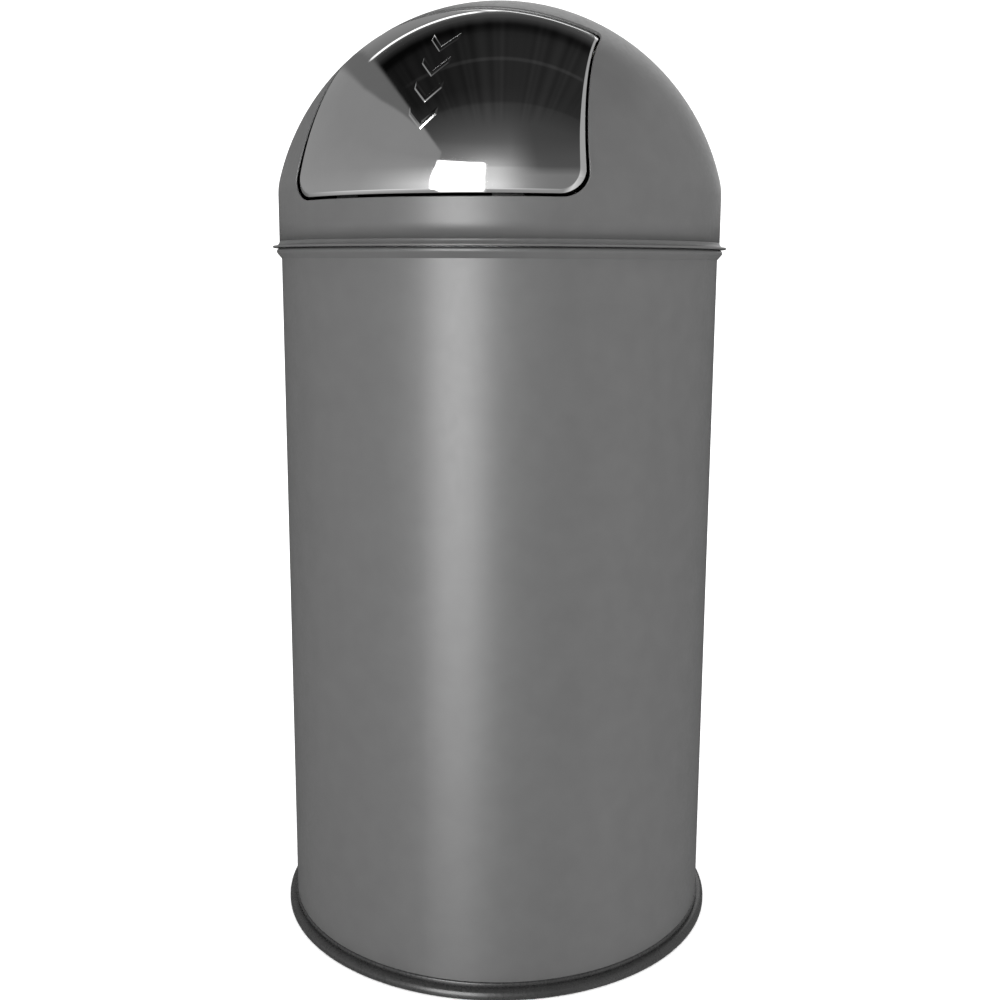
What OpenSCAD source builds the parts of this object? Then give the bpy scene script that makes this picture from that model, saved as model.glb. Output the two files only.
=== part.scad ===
// Push-flap waste bin: a round steel body, a domed head with a chromed flap, a lift-out liner.
// The origin is the middle of the foot on the floor, +Z is up and the flap faces -Y.

/* [Body] */
// Outer radius of the body
body_r = 175; // [160:1:200]
// Height of the body's rolled rim above the floor
body_top = 555; // [450:1:650]
// Thickness of the sheet steel of body, base plate and dome
sheet = 1; // [0.8:0.1:1.2]
// Radius of the rolled bead round the mouth
bead_r = 2.4; // [2:0.1:3]
// Radius of the wire inside the bead
rim_wire_r = 1.3; // [0.8:0.1:1.4]
// Angle below the bead's middle at which its tail leaves for the wall, in degrees
bead_tail = 40; // [30:1:60]

/* [Base] */
// Height of the plastic base ring
ring_h = 11.5; // [10:0.5:16]
// How far the base ring stands out from the body
ring_flare = 6.8; // [5:0.1:9]
// How far the upper end of the ring's bowed face stands out from the body
ring_bow_end = 2.6; // [1.6:0.1:3]
// Height at which the ring is widest
ring_wide_z = 3.5; // [3:0.5:5]
// Rounding of the ring's lower edge
ring_edge_r = 2; // [1:0.5:3]
// Thickness of the ring's top lip
ring_lip_t = 1.3; // [0.9:0.1:2]
// Height of the ring's top lip
ring_lip_h = 2.5; // [2:0.5:4]
// Height of the groove under the lip
ring_groove_h = 1.2; // [1:0.1:2]
// Thickness of the ring behind the groove
ring_groove_t = 0.7; // [0.5:0.1:1]
// Thickness of the ring's ledge under the body
ring_ledge_t = 4; // [3:0.5:6]
// Reach of the ledge inwards from the body's outer face
ring_ledge_w = 10; // [6:0.5:16]
// Depth of the base plate's turned edge
base_plate_edge = 11; // [8:1:20]

/* [Dome] */
// How far the dome's skirt stands out from the body
skirt_step = 1.5; // [1:0.1:3]
// How far the crown's radius exceeds the skirt's
crown_swell = 4; // [2:0.5:8]
// Height of the crown's centre above the body's rim
crown_rise = 8.9; // [0:0.1:20]
// Radius of the shoulder between skirt and crown
shoulder_r = 49; // [30:1:60]
// How far the hemmed flange stands out from the skirt
flange_out = 5.3; // [4.5:0.1:7]
// Thickness of the hemmed flange
flange_t = 1.8; // [1.6:0.1:2.4]
// Radius of the hollow above the flange
cove_r = 3.4; // [2:0.1:4]
// Gap between the flange and the bead that it rests on
flange_gap = 0.3; // [0.3:0.1:0.6]
// Gap between the dome's or the flap's sheet and a foot that is welded to it
seat_gap = 0.2; // [0.1:0.1:0.4]

/* [Collar] */
// Thickness of the locating collar
collar_t = 1.2; // [1:0.1:2]
// Radial clearance of the collar in the body's mouth
collar_gap = 0.5; // [0.4:0.1:1]
// Depth of the collar in the body's mouth
collar_drop = 17; // [10:1:25]
// Height of the collar's step above the flange's underside
collar_rise = 3.6; // [2.8:0.2:6]
// Height of the collar's weld band in the skirt
collar_lap = 10; // [6:1:14]

/* [Opening] */
// Height of the opening's lower edge above the body's rim
opening_rise = 33.2; // [28:0.1:40]
// Drop of the opening's top edge below the top of the dome
opening_drop = 14.9; // [12:0.1:20]
// Half of the angle that the opening's lower edge spans on the skirt, in degrees
opening_half_angle = 40.2; // [38:0.1:44]
// Lean of the opening's sides from upright, in degrees
opening_lean = 8.3; // [7:0.1:12]
// Radius of the opening's top edge, seen from the front
opening_top_r = 231; // [200:1:300]
// Radius of the opening's lower corners
low_corner_r = 16; // [10:0.5:22]
// Radius of the opening's top corners
top_corner_r = 11; // [6:0.5:12]

/* [Flap] */
// Gap between the opening and the flap at the sides and the top
flap_gap = 1.6; // [1.2:0.1:3]
// Gap between the opening and the flap at the bottom
flap_low_gap = 2.4; // [1.6:0.1:4]
// Radius of the flap's lower corners
flap_corner_r = 16; // [12:0.5:22]
// Thickness of the flap's sheet
flap_t = 1; // [0.8:0.1:1.5]
// Depth of the flap's turned edge, measured backwards
flap_turn = 7; // [4:0.5:10]
// Number of embossed chevrons
chevron_n = 4; // [1:1:5]
// Width of a chevron
chevron_w = 20; // [12:1:30]
// Height from one chevron to the next
chevron_pitch = 18.5; // [16:0.5:22]
// Width of a chevron's stroke
chevron_stroke = 3.2; // [2:0.1:5]
// Relief of the chevrons
chevron_relief = 0.6; // [0.3:0.1:1]
// Height of the lowest chevron's tip above the opening's lower edge
chevron_rise = 45; // [20:1:60]

/* [Hinge] */
// Clearance between the axle's ends and the dome
axle_end_gap = 1.7; // [1.2:0.1:3]
// Angle of the axle ahead of the crown's centre, from upright, in degrees
axle_angle = 18.8; // [16:0.1:20]
// Radius of the axle
axle_r = 3; // [2.5:0.1:3.5]
// Radial running clearance round the axle
axle_clear = 0.05; // [0.02:0.01:0.08]
// Distance of the axle brackets outside the opening's top corners
bracket_out = 2.5; // [2:0.1:3.5]
// Thickness of the axle brackets
bracket_t = 2; // [1.5:0.1:2.5]
// Radius of the bracket's eye
bracket_eye_r = 11; // [8:0.5:13]
// Length of the axle beyond the brackets
axle_end = 3; // [2.5:0.1:3.5]
// Radius of the push-on clips
clip_r = 5; // [4.5:0.1:5.5]
// Thickness of the push-on clips
clip_t = 0.8; // [0.6:0.1:1]
// Clearance round the clips in the brackets' weld feet
clip_gap = 0.6; // [0.4:0.1:1]
// Depth of the brackets' spot faces under the clips
clip_seat = 0.3; // [0.2:0.1:0.5]
// Distance of the flap's ears inside the flap's top corners
ear_in = 6.8; // [5.5:0.1:8]
// Thickness of the ears
ear_t = 1.5; // [1:0.1:2.5]
// Radius of the ear's eye
ear_eye_r = 9; // [8:0.5:11]
// Width of the ear's weld foot
ear_foot_w = 11; // [8:0.5:16]
// Upper end of the ear's foot, as an angle from upright about the crown's centre
ear_top_angle = 33; // [30:1:38]
// Lower end of the ear's foot, as an angle from upright about the crown's centre
ear_low_angle = 62; // [50:1:70]
// Wall of the bushes
bush_wall = 1.5; // [1:0.1:2]
// Radius of the bushes' flanges
bush_flange_r = 7; // [6:0.1:8]
// Thickness of the bushes' flanges
bush_flange_t = 1.2; // [0.8:0.1:1.4]

/* [Springs] */
// Radius of the spring wire
spring_wire_r = 0.7; // [0.5:0.05:0.8]
// Mean radius of the spring's coil
spring_coil_r = 5.5; // [5:0.1:7]
// Whole turns of the spring's coil
spring_turns = 3; // [2:1:3]
// Clearance of the coil at each end
spring_side_gap = 0.4; // [0.3:0.1:0.6]
// Gap between the spring's legs and the sheet that they press on
spring_leg_gap = 0.3; // [0.2:0.1:0.5]
// End of the leg on the flap, as an angle from upright about the crown's centre
spring_flap_angle = 38; // [36:1:46]
// End of the leg on the dome, as an angle from upright about the crown's centre
spring_dome_angle = 8; // [4:1:10]

/* [Stops] */
// Distance of the stop tabs from the middle
stop_x = 60; // [40:1:80]
// Width of the stop tabs
stop_w = 20; // [14:1:26]
// Thickness of the stop tabs
stop_t = 1.5; // [1:0.1:2]
// Reach of the stop tabs below the opening's lower edge
stop_drop = 14; // [13:1:20]
// Height of the tabs' step above the opening's lower edge
stop_step = 15; // [12:1:20]
// Height of the tabs' weld foot above the step
stop_foot = 12; // [8:1:20]
// Distance of the tabs behind the dome's inner face
stop_depth = 7.5; // [7:0.1:9]
// Radius of the rubber buffers
buffer_r = 5; // [4:0.5:6]
// Height of the buffers above the tabs' lower ends
buffer_rise = 1; // [0.5:0.5:3]
// Gap between the buffers and the dome
buffer_gap = 0.3; // [0.3:0.1:0.6]

/* [Liner] */
// Radial gap between the liner and the body
liner_gap = 9; // [7:0.5:14]
// Thickness of the liner's sheet
liner_t = 0.8; // [0.6:0.1:1]
// Drop of the liner's rim below the body's rim
liner_drop = 47; // [44:1:80]
// Radius of the liner's rolled rim
liner_roll_r = 2.6; // [2:0.1:3]
// Height of the liner's bottom above its foot
liner_bottom_rise = 7; // [5:1:12]

/* [Liner handles] */
// Drop of the handles' pivot below the liner's rim
handle_drop = 20; // [18:1:30]
// Radius of the handle's wire
handle_wire_r = 2.5; // [2:0.1:3]
// Width of the handle between the middles of its legs
handle_w = 58; // [54:1:70]
// Length of the handle from its pivot to the middle of its grip
handle_l = 55; // [45:1:58]
// Corner radius of the handle's wire
handle_bend_r = 8; // [7:0.5:12]
// Radial running clearance of the handle in its barrel
handle_clear = 0.05; // [0.02:0.01:0.08]
// Wall of the bracket's barrel
barrel_wall = 1.7; // [1.2:0.1:2.5]
// Gap between the barrel's ends and the handle's bends
barrel_gap = 1; // [0.5:0.5:4]
// Clearance between the barrel and the liner's wall
barrel_stand = 1.5; // [1:0.1:3]
// Height of the bracket's plate
strap_h = 32; // [30:1:40]
// Thickness of the bracket's plate
strap_t = 1.5; // [1:0.1:2]
// Radius of the rivets' shanks
rivet_r = 2; // [1.5:0.1:2.5]
// Radius of the rivets' heads
rivet_head_r = 3.6; // [3:0.1:4]
// Height of the rivets' heads
rivet_head_h = 1.4; // [1:0.1:2]
// Distance of the rivets' heads from the plate's upper and lower edges
rivet_edge = 1; // [0.5:0.5:2]

/* [Hidden] */
$fn = 96;
eps = 0.01;
// Overshoot of a cutting body beyond the faces that it cuts
over = 1;
// Share of a radius at which a blend starts, so that it crosses the face it meets
blend = 0.97;

// Body and base
body_in_r = body_r - sheet;
bead_x = body_in_r + bead_r;
bead_z = body_top - bead_r;
base_plate_top = ring_ledge_t + base_plate_edge;
ring_r = body_r + ring_flare;
ring_bow_top = ring_h - ring_lip_h - ring_groove_h;
ring_bow_rise = ring_bow_top - ring_wide_z;
ring_bow_fall = ring_flare - ring_bow_end;
ring_bow_r = (pow(ring_bow_rise, 2) + pow(ring_bow_fall, 2)) / (2 * ring_bow_fall);

// Dome
skirt_r = body_r + skirt_step;
crown_r = skirt_r + crown_swell;
crown_z = body_top + crown_rise;
dome_top = crown_z + crown_r;
flange_z = body_top + flange_gap;
shoulder_x = skirt_r - shoulder_r;
shoulder_z = crown_z + sqrt(pow(crown_r - shoulder_r, 2) - pow(shoulder_x, 2));
shoulder_slope = (shoulder_z - crown_z) / shoulder_x;

// Opening, seen from the front
opening_low = body_top + opening_rise;
opening_top = dome_top - opening_drop;
opening_half_w = skirt_r * sin(opening_half_angle);
cut_start = 20;
cut_length = crown_r + cut_start;

// Axle
corner_z = side_height_at_radius(opening_top_r - top_corner_r, top_corner_r);
corner_side = side_at(corner_z, 0);
bracket_x = corner_side + bracket_out;
axle_half = bracket_x + bracket_t + axle_end;
clip_x = bracket_x + bracket_t - clip_seat;
axle_reach = sqrt(pow(crown_r - sheet, 2) - pow(axle_half, 2)) - axle_r - axle_end_gap;
axle_y = -axle_reach * sin(axle_angle);
axle_z = crown_z + axle_reach * cos(axle_angle);
ear_x = corner_side - flap_gap - ear_in;
bush_x = ear_x + bush_flange_t;

// Springs
spring_x0 = bush_x + spring_side_gap + spring_wire_r;
spring_x1 = bracket_x - spring_side_gap - spring_wire_r;
spring_flap_end = seat_point(spring_x0, spring_flap_angle, flap_t);
spring_dome_end = seat_point(spring_x1, spring_dome_angle, sheet);
spring_a0 = coil_angle(spring_flap_end, 1);
spring_a1 = coil_angle(spring_dome_end, -1) + 360 * spring_turns;
spring_rings_a_turn = 12;
spring_sides = 6;
spring_pitch = (spring_x1 - spring_x0) / (spring_a1 - spring_a0) * 360;

// Liner
liner_r = body_in_r - liner_gap;
liner_in_r = liner_r - liner_t;
liner_top = body_top - liner_drop;
liner_roll_x = liner_in_r + liner_roll_r;
liner_wire_r = liner_roll_r - liner_t;
liner_floor_z = base_plate_top + liner_bottom_rise;
handle_z = liner_top - handle_drop;
barrel_r = handle_wire_r + barrel_wall;
barrel_half = handle_w / 2 - handle_bend_r - barrel_gap;
handle_x = sqrt(pow(liner_in_r, 2) - pow(handle_w / 2, 2)) - barrel_stand - barrel_r;
rivet_y = barrel_half - rivet_head_r;
rivet_z = strap_h / 2 - rivet_head_r - rivet_edge;

echo(spring_gap = spring_pitch - 2 * spring_wire_r);
echo(axle = [axle_y, axle_z], handle_pivot = [handle_x, handle_z]);

// Points on an arc about c from angle a0 to a1, in n steps
function arc(c, r, a0, a1, n) =
    [for (i = [0:n]) let(a = a0 + (a1 - a0) * i / n) c + r * [cos(a), sin(a)]];

// Half-width of the opening's straight side at height z, drawn in by g
function side_at(z, g) =
    opening_half_w - (z - opening_low) * tan(opening_lean) - g / cos(opening_lean);

// Point of the front view at distance from the side line, by height
function side_point(z, g) = [side_at(z, g), z];

// Height at which the side line, drawn in by g, is at distance r from the top arc's centre
function side_height_at_radius(r, g) =
    let(zc = opening_top - opening_top_r,
        m = tan(opening_lean),
        x0 = side_at(zc, g),
        a = 1 + m * m,
        b = -2 * m * x0,
        c = x0 * x0 - r * r)
    zc + (-b + sqrt(b * b - 4 * a * c)) / (2 * a);

// Point on the inner face of a sheet, at distance x from the middle and an angle from upright
function seat_point(x, angle, t) =
    let(rho = sqrt(pow(crown_r - t, 2) - x * x) - spring_wire_r - spring_leg_gap)
    [-rho * sin(angle), crown_z + rho * cos(angle)];

// Angle at which a leg that ends at p leaves the coil, turning with sense s
function coil_angle(p, s) =
    let(dy = p[0] - axle_y, dz = p[1] - axle_z)
    atan2(dz, dy) + s * acos(spring_coil_r / norm([dy, dz]));

// ---------- Body ----------

// Section of the body's wall with its bead, rolled outwards, and the bead's tail
module body_section() {
    bead = arc([bead_x, bead_z], bead_r, 180, -bead_tail, 20);
    leave = bead[len(bead) - 1];
    tail_z = leave[1] - (leave[0] - body_r) / tan(bead_tail);
    polygon(concat(bead, [[body_r, tail_z], [body_r, ring_ledge_t], [body_in_r, ring_ledge_t]]));
}

module body_shell() {
    color("dimgray")
    rotate_extrude($fn = 180)
    difference() {
        body_section();
        translate([bead_x, bead_z]) circle(rim_wire_r, $fn = 48);
    }
}

module rim_wire() {
    color("silver")
    rotate_extrude($fn = 180)
    translate([bead_x, bead_z]) circle(rim_wire_r, $fn = 48);
}

// Pressed disc with its edge turned down inside the body's foot
module base_plate() {
    color("gray")
    rotate_extrude($fn = 180)
    polygon([
        [0, base_plate_top], [body_in_r, base_plate_top], [body_in_r, ring_ledge_t],
        [body_in_r - sheet, ring_ledge_t], [body_in_r - sheet, base_plate_top - sheet],
        [0, base_plate_top - sheet]
    ]);
}

// Bowed outer face of the base ring, from the floor to the groove
module ring_bow_section() {
    intersection() {
        translate([ring_r - ring_bow_r, ring_wide_z]) circle(ring_bow_r, $fn = 180);
        translate([body_r, ring_wide_z]) square([2 * ring_flare, ring_bow_top - ring_wide_z]);
    }
    translate([body_r, ring_edge_r]) square([ring_flare, ring_wide_z - ring_edge_r]);
    translate([ring_r - ring_edge_r, ring_edge_r]) circle(ring_edge_r, $fn = 48);
    translate([body_r, 0]) square([ring_flare - ring_edge_r, ring_edge_r]);
}

module base_ring() {
    color("black")
    rotate_extrude($fn = 180)
    union() {
        ring_bow_section();
        translate([body_r - ring_ledge_w, 0]) square([ring_ledge_w, ring_ledge_t]);
        translate([body_r, ring_edge_r]) square([ring_groove_t, ring_h - ring_lip_t - ring_edge_r]);
        translate([body_r, ring_h - ring_lip_h]) square([ring_lip_t, ring_lip_h - ring_lip_t]);
        translate([body_r, ring_h - ring_lip_t])
            intersection() {
                circle(ring_lip_t, $fn = 48);
                square(ring_lip_t);
            }
    }
}

// ---------- Dome ----------

// Half of the dome's section, filled, with its outer face drawn in by t
module dome_section(t) {
    intersection() {
        translate([0, crown_z]) circle(crown_r - t, $fn = 360);
        polygon([[0, crown_z], [2 * crown_r, crown_z + 2 * crown_r * shoulder_slope],
                 [2 * crown_r, dome_top + over], [0, dome_top + over]]);
    }
    intersection() {
        translate([shoulder_x, shoulder_z]) circle(shoulder_r - t, $fn = 180);
        translate([shoulder_x, shoulder_z]) square(2 * shoulder_r);
    }
    translate([0, flange_z]) square([skirt_r - t, shoulder_z - flange_z]);
}

// The dome as a filled solid, with its outer face drawn in by t
module dome_solid(t) {
    rotate_extrude($fn = 180) dome_section(t);
}

// The sheet between two depths under the dome's outer face
module dome_layer(t0, t1) {
    rotate_extrude($fn = 180)
    difference() {
        dome_section(t0);
        translate([0, -eps]) dome_section(t1);
    }
}

// Right half of an outline seen from the front, from the bottom up: the opening's sides and top
// drawn in by g, its lower edge raised by low, with lower corners of radius r
function outline_half(g, low, r) =
    let(low_c = side_point(opening_low + low + r, g + r),
        top_c = [0, opening_top - opening_top_r],
        corner_c = side_point(corner_z, top_corner_r),
        ray = corner_c - top_c,
        ray_angle = atan2(ray[1], ray[0]))
    concat(
        arc(low_c, r, -90, opening_lean, 8),
        arc(corner_c, top_corner_r - g, opening_lean, ray_angle, 6),
        [for (i = [1:8]) let(a = ray_angle + (90 - ray_angle) * i / 8)
            top_c + (opening_top_r - g) * [cos(a), sin(a)]]
    );

// Whole outline from its right half
module outline(half) {
    polygon(concat(half, [for (i = [len(half) - 2:-1:0]) [-half[i][0], half[i][1]]]));
}

// Outline of the opening seen from the front
module opening_outline() {
    outline(outline_half(0, 0, low_corner_r));
}

// Outline of the flap seen from the front, drawn in by t
module flap_outline(t) {
    outline(outline_half(flap_gap + t, flap_low_gap + t, flap_corner_r - t));
}

// Straight prism through the front of the dome, over an outline of the front view
module front_prism() {
    translate([0, -cut_start, 0])
    rotate([90, 0, 0])
    linear_extrude(cut_length)
    children();
}

// Hemmed flange with its round edge, and the hollow above it
module flange_section() {
    r_end = skirt_r + flange_out - flange_t / 2;
    translate([skirt_r - sheet, flange_z]) square([r_end - skirt_r + sheet, flange_t]);
    translate([r_end, flange_z + flange_t / 2]) circle(flange_t / 2, $fn = 48);
    difference() {
        translate([skirt_r - sheet / 2, flange_z + flange_t / 2])
            square([sheet / 2 + blend * cove_r, flange_t / 2 + blend * cove_r]);
        translate([skirt_r + blend * cove_r, flange_z + flange_t + blend * cove_r])
            circle(cove_r, $fn = 48);
    }
}

module dome_shell() {
    color("dimgray")
    difference() {
        rotate_extrude($fn = 180) {
            difference() {
                dome_section(0);
                translate([0, -eps]) dome_section(sheet);
            }
            flange_section();
        }
        front_prism() opening_outline();
    }
}

// Locating ring: a weld band in the skirt, a step, and the band that drops into the body's mouth
module dome_collar() {
    band_out = skirt_r - sheet;
    drop_out = body_in_r - collar_gap;
    step_z = flange_z + collar_rise;
    color("darkgray")
    rotate_extrude($fn = 180)
    polygon([
        [band_out, step_z], [band_out, step_z + collar_lap], [band_out - collar_t, step_z + collar_lap],
        [band_out - collar_t, step_z + collar_t], [drop_out - collar_t, step_z + collar_t],
        [drop_out - collar_t, body_top - collar_drop], [drop_out, body_top - collar_drop],
        [drop_out, step_z]
    ]);
}

// ---------- Flap ----------

// A chevron with its tip at the origin, pointing down
module chevron() {
    arm = chevron_w / 2;
    polygon([
        [0, 0], [arm, arm], [arm, arm + chevron_stroke * sqrt(2)],
        [0, chevron_stroke * sqrt(2)], [-arm, arm + chevron_stroke * sqrt(2)], [-arm, arm]
    ]);
}

// Chromed panel: a sheet flush with the dome, its turned edge, and the embossed chevrons
module flap_panel() {
    color("gainsboro")
    union() {
        intersection() {
            dome_layer(0, flap_t);
            front_prism() flap_outline(0);
        }
        intersection() {
            difference() {
                front_prism() flap_outline(0);
                front_prism() flap_outline(flap_t);
            }
            difference() {
                dome_solid(0);
                translate([0, flap_turn, -eps]) dome_solid(0);
            }
        }
        intersection() {
            dome_layer(-chevron_relief, flap_t / 2);
            front_prism()
                for (i = [0:chevron_n - 1])
                    translate([0, opening_low + chevron_rise + i * chevron_pitch]) chevron();
        }
    }
}

// Draws its children, an outline in Y and Z, as a plate from x0 to x0 + t
module side_plate(x0, t) {
    translate([x0, 0, 0]) rotate([90, 0, 90]) linear_extrude(t) children();
}

// Point at radius r and angle from upright about the crown's centre, in Y and Z
function crown_point(r, angle) = [-r * sin(angle), crown_z + r * cos(angle)];

// Ear on the +X side: an eye on the axle, a web, and a weld foot along the flap's inner face
module flap_ear() {
    web = [[axle_y, axle_z + ear_eye_r], crown_point(crown_r, ear_top_angle),
           crown_point(crown_r, ear_low_angle), [axle_y - ear_eye_r, axle_z],
           [axle_y, axle_z]];
    foot = [crown_point(crown_r / 2, ear_top_angle), crown_point(crown_r, ear_top_angle),
            crown_point(1.5 * crown_r, (ear_top_angle + ear_low_angle) / 2),
            crown_point(crown_r, ear_low_angle), crown_point(crown_r / 2, ear_low_angle)];
    difference() {
        union() {
            intersection() {
                side_plate(ear_x - ear_t, ear_t) {
                    polygon(web);
                    translate([axle_y, axle_z]) circle(ear_eye_r);
                }
                dome_solid(flap_t + seat_gap);
            }
            intersection() {
                dome_layer(flap_t + seat_gap, flap_t + seat_gap + ear_t);
                side_plate(ear_x - ear_foot_w, ear_foot_w) polygon(foot);
            }
        }
        side_plate(ear_x - ear_foot_w - over, ear_foot_w + 2 * over)
            translate([axle_y, axle_z]) circle(axle_r + axle_clear + bush_wall, $fn = 48);
    }
}

module flap_ear_right() {
    color("silver") flap_ear();
}

module flap_ear_left() {
    color("silver") mirror([1, 0, 0]) flap_ear();
}

// Flanged nylon bush in each ear
module flap_bushes() {
    hub = axle_r + axle_clear + bush_wall;
    color("ivory")
    for (s = [0, 1])
        mirror([s, 0, 0])
        translate([ear_x, axle_y, axle_z])
        rotate([0, 90, 0])
        difference() {
            union() {
                translate([0, 0, -ear_t]) cylinder(r = hub, h = ear_t, $fn = 48);
                cylinder(r = bush_flange_r, h = bush_flange_t, $fn = 48);
                translate([0, 0, -ear_t - bush_flange_t])
                    cylinder(r = bush_flange_r, h = bush_flange_t, $fn = 48);
            }
            translate([0, 0, -ear_t - bush_flange_t - over])
                cylinder(r = axle_r + axle_clear, h = ear_t + 2 * (bush_flange_t + over), $fn = 48);
        }
}

// Block between two heights, as wide as a stop tab, on the +X or -X side
module stop_block(s, z0, z1) {
    translate([s * stop_x - stop_w / 2, -crown_r - over, z0]) cube([stop_w, crown_r, z1 - z0]);
}

// Joggled tabs: welded behind the flap, stepped back, and reaching down behind the dome
module stop_tabs() {
    depth = sheet + stop_depth;
    step_z = opening_low + stop_step;
    color("black")
    for (s = [-1, 1])
        union() {
            intersection() {
                dome_layer(depth, depth + stop_t);
                stop_block(s, opening_low - stop_drop, step_z);
            }
            intersection() {
                dome_layer(flap_t + seat_gap, depth + stop_t);
                stop_block(s, step_z - stop_t, step_z);
            }
            intersection() {
                dome_layer(flap_t + seat_gap, flap_t + seat_gap + stop_t);
                stop_block(s, step_z - stop_t, step_z + stop_foot);
            }
        }
}

// Rubber buffers on the tabs' lower ends, just clear of the dome's inner face
module stop_buffers() {
    color("black")
    for (s = [-1, 1])
        intersection() {
            translate([s * stop_x, 0, opening_low - stop_drop + buffer_r + buffer_rise])
                rotate([90, 0, 0]) cylinder(r = buffer_r, h = crown_r, $fn = 48);
            dome_layer(sheet + buffer_gap, sheet + stop_depth);
        }
}

// ---------- Hinge ----------

// Bracket on the +X side: an eye round the axle, with a spot face for the clip, and a weld
// foot along the dome's inner face
module axle_bracket() {
    difference() {
        intersection() {
            dome_solid(sheet + seat_gap);
            side_plate(bracket_x, crown_r)
                translate([axle_y, axle_z]) circle(bracket_eye_r, $fn = 48);
        }
        intersection() {
            dome_solid(sheet + seat_gap + bracket_t);
            side_plate(bracket_x + bracket_t, crown_r)
                translate([axle_y, axle_z]) circle(bracket_eye_r + over, $fn = 48);
        }
        side_plate(bracket_x - over, bracket_t + 2 * over)
            translate([axle_y, axle_z]) circle(axle_r + axle_clear, $fn = 48);
        side_plate(clip_x, crown_r)
            translate([axle_y, axle_z]) circle(clip_r + clip_gap, $fn = 48);
    }
}

module axle_bracket_right() {
    color("silver") axle_bracket();
}

module axle_bracket_left() {
    color("silver") mirror([1, 0, 0]) axle_bracket();
}

module hinge_axle() {
    color("silver")
    translate([-axle_half, axle_y, axle_z])
    rotate([0, 90, 0])
    cylinder(r = axle_r, h = 2 * axle_half, $fn = 48);
}

module axle_clips() {
    color("gray")
    for (s = [0, 1])
        mirror([s, 0, 0])
        translate([clip_x, axle_y, axle_z])
        rotate([0, 90, 0])
        difference() {
            cylinder(r = clip_r, h = clip_t, $fn = 48);
            translate([0, 0, -over]) cylinder(r = axle_r, h = clip_t + 2 * over, $fn = 48);
        }
}

// Points of the spring's middle line: the flap's leg, the coil, and the dome's leg
function spring_path() =
    let(n = round((spring_a1 - spring_a0) / 360 * spring_rings_a_turn))
    [
        [spring_x0, spring_flap_end[0], spring_flap_end[1]],
        for (i = [0:n])
            let(a = spring_a0 + (spring_a1 - spring_a0) * i / n)
            [spring_x0 + (spring_x1 - spring_x0) * i / n,
             axle_y + spring_coil_r * cos(a), axle_z + spring_coil_r * sin(a)],
        [spring_x1, spring_dome_end[0], spring_dome_end[1]]
    ];

// Tube of the spring's wire along its middle line, in triangles
module spring_tube() {
    path = spring_path();
    m = spring_sides;
    last = len(path) - 1;
    rings = [for (i = [0:last])
        let(d = path[min(i + 1, last)] - path[max(i - 1, 0)],
            t = d / norm(d),
            u0 = [1, 0, 0] - t[0] * t,
            u = u0 / norm(u0),
            v = cross(t, u))
        for (k = [0:m - 1])
            path[i] + spring_wire_r * (cos(360 * k / m) * u + sin(360 * k / m) * v)];
    sides = [for (i = [0:last - 1], k = [0:m - 1])
        let(a = i * m + k, b = i * m + (k + 1) % m)
        each [[a, a + m, b], [b, a + m, b + m]]];
    ends = [for (k = [1:m - 2]) each [[0, k, k + 1],
        [last * m, last * m + k + 1, last * m + k]]];
    polyhedron(points = rings, faces = concat(sides, ends), convexity = 10);
}

module spring_right() {
    color("silver") spring_tube();
}

module spring_left() {
    color("silver") mirror([1, 0, 0]) spring_tube();
}

// ---------- Liner ----------

module liner_shell() {
    color("lightgray")
    difference() {
        rotate_extrude($fn = 180)
        difference() {
            union() {
                translate([liner_in_r, base_plate_top])
                    square([liner_t, liner_top - liner_roll_r - base_plate_top]);
                translate([liner_roll_x, liner_top - liner_roll_r]) circle(liner_roll_r, $fn = 48);
            }
            translate([liner_roll_x, liner_top - liner_roll_r]) circle(liner_wire_r, $fn = 48);
        }
        for (s = [0, 1])
            mirror([s, 0, 0]) rivet_places() rivet_shank(liner_r + over);
    }
}

module liner_rim_wire() {
    color("silver")
    rotate_extrude($fn = 180)
    translate([liner_roll_x, liner_top - liner_roll_r]) circle(liner_wire_r, $fn = 48);
}

module liner_bottom() {
    color("lightgray")
    rotate_extrude($fn = 180)
    polygon([
        [0, liner_floor_z], [liner_in_r, liner_floor_z], [liner_in_r, base_plate_top],
        [liner_in_r - liner_t, base_plate_top], [liner_in_r - liner_t, liner_floor_z - liner_t],
        [0, liner_floor_z - liner_t]
    ]);
}

// Strap on the +X side: a curved plate on the liner's wall and a barrel for the handle's wire
module handle_bracket() {
    difference() {
        union() {
            intersection() {
                difference() {
                    translate([0, 0, handle_z - strap_h / 2]) cylinder(r = liner_in_r, h = strap_h, $fn = 180);
                    translate([0, 0, handle_z - strap_h / 2 - over])
                        cylinder(r = liner_in_r - strap_t, h = strap_h + 2 * over, $fn = 180);
                }
                translate([0, -barrel_half, handle_z - strap_h / 2])
                    cube([liner_r, 2 * barrel_half, strap_h]);
            }
            intersection() {
                translate([0, 0, handle_z - barrel_r / 2]) cylinder(r = liner_in_r, h = barrel_r, $fn = 180);
                translate([handle_x, -barrel_half, handle_z - barrel_r / 2])
                    cube([liner_r, 2 * barrel_half, barrel_r]);
            }
            translate([handle_x, barrel_half, handle_z])
                rotate([90, 0, 0]) cylinder(r = barrel_r, h = 2 * barrel_half, $fn = 48);
        }
        translate([handle_x, barrel_half + over, handle_z])
            rotate([90, 0, 0])
            cylinder(r = handle_wire_r + handle_clear, h = 2 * (barrel_half + over), $fn = 48);
        rivet_places() rivet_shank(liner_r);
    }
}

module handle_bracket_right() {
    color("silver") handle_bracket();
}

module handle_bracket_left() {
    color("silver") mirror([1, 0, 0]) handle_bracket();
}

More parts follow.
